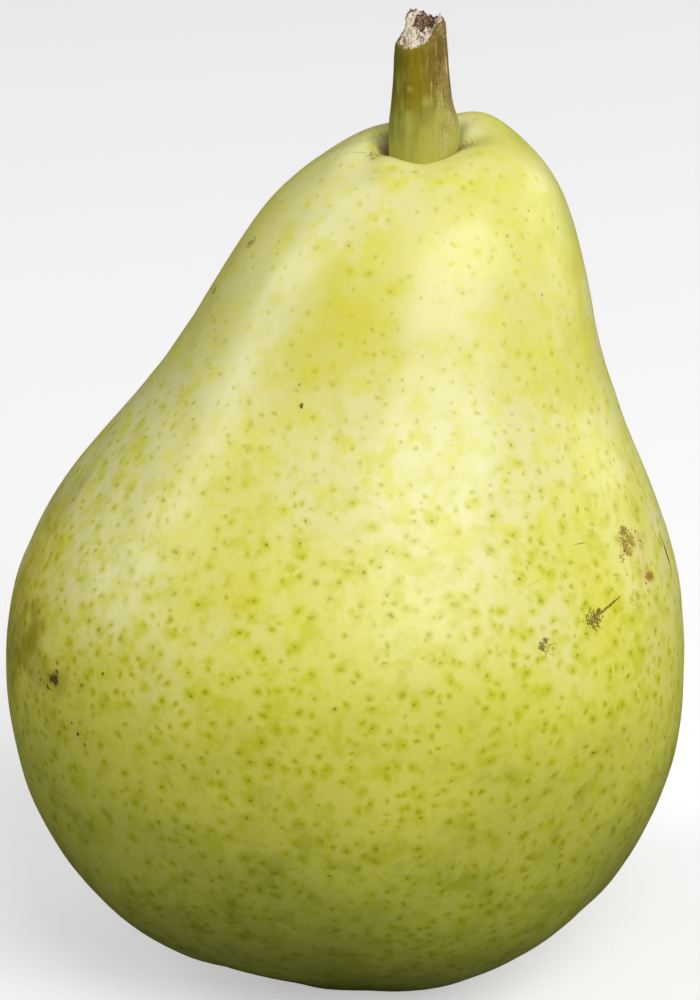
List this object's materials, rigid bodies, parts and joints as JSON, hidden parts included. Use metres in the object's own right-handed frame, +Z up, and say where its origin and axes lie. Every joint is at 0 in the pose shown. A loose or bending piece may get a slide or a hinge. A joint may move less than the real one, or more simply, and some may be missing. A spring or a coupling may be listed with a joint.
{
  "type": "pear",
  "caption": "Whole pear with a broad belly, a leaning neck and a short woody stem, standing upright on the flat spot round its calyx.",
  "frame": {"origin": "on the surface that the pear stands on, under the middle of its belly", "axes": "+Z up from the calyx to the stem, +X towards the side that the neck leans to, -Y the front"},
  "size_m": [0.0697, 0.0686, 0.0997],
  "materials": {
    "skin": "waxy pale yellow-green fruit skin with fine darker green pores",
    "stem_bark": "matt olive and brown bark, pale and corky at the broken end",
    "dry_sepal": "dry, matt, dark brown leaf",
    "dry_stamen": "dry, matt, nearly black threads"
  },
  "bodies": {
    "root": {"pear_body": "skin", "stem": "stem_bark", "sepal_1": "dry_sepal", "sepal_2": "dry_sepal", "sepal_3": "dry_sepal", "sepal_4": "dry_sepal", "sepal_5": "dry_sepal", "stamen_tuft": "dry_stamen"}
  },
  "joints": []
}
